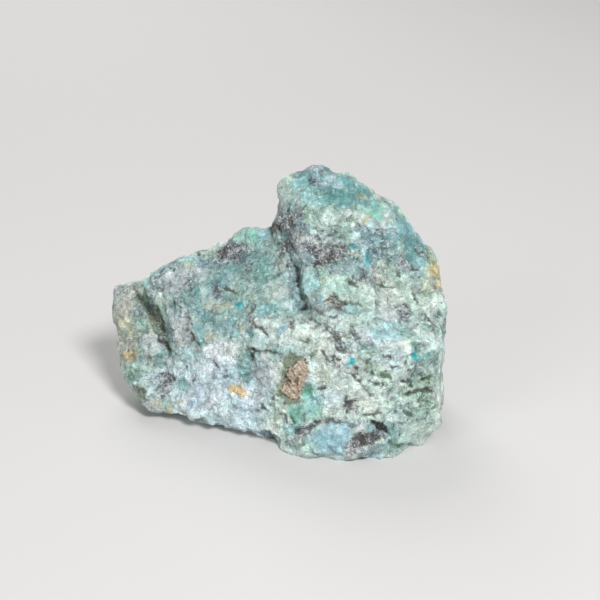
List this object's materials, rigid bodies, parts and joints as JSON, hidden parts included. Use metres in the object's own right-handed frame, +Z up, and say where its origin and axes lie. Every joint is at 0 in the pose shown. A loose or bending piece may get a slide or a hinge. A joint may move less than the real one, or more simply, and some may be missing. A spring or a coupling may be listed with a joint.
{
  "type": "rough turquoise stone",
  "caption": "Broken lump of rough turquoise in pale matrix, with a peaked top, a low sloping wing and a flat base that it rests on.",
  "frame": {"origin": "middle of the stone's box, in the plane of the flat base that it rests on", "axes": "+X along the stone's length, from the low wing to the peaked end; +Y from the best side to the back; +Z up"},
  "size_m": [0.063, 0.0344, 0.0454],
  "materials": {
    "turquoise_in_matrix": "rough broken stone, matte with small glints; teal and mint turquoise in a pale grey-white granular matrix with dark veins and ochre stains"
  },
  "bodies": {
    "root": {"turquoise_stone": "turquoise_in_matrix"}
  },
  "joints": []
}
